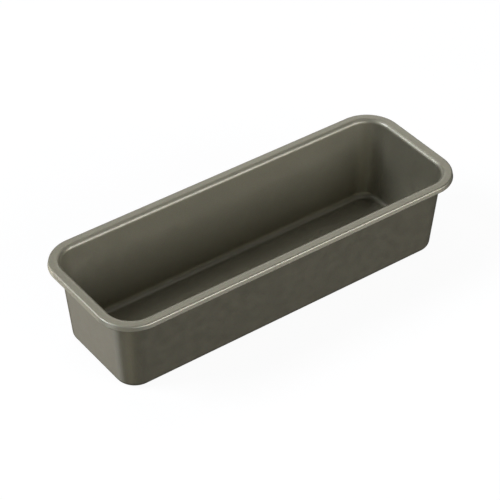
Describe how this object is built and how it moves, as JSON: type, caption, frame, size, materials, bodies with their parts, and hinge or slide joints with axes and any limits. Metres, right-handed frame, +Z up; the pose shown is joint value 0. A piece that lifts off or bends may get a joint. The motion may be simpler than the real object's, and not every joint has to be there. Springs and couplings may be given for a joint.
{
  "type": "loaf pan",
  "caption": "Long rectangular loaf pan in coated sheet steel, with rounded corners, slightly sloping walls, a flat flange and a curled edge closed round a wire.",
  "frame": {"origin": "middle of the base, on the underside that the pan stands on", "axes": "+X along the pan, +Y across it towards the side where the wire's ends meet, +Z up towards the open top"},
  "size_m": [0.3, 0.109, 0.067],
  "materials": {
    "coated_steel": "satin champagne-grey non-stick coating with a fine metallic flake, inside and out",
    "steel_wire": "plain drawn steel wire"
  },
  "bodies": {
    "root": {"pan_shell": "coated_steel", "rim_wire": "steel_wire"}
  },
  "joints": []
}
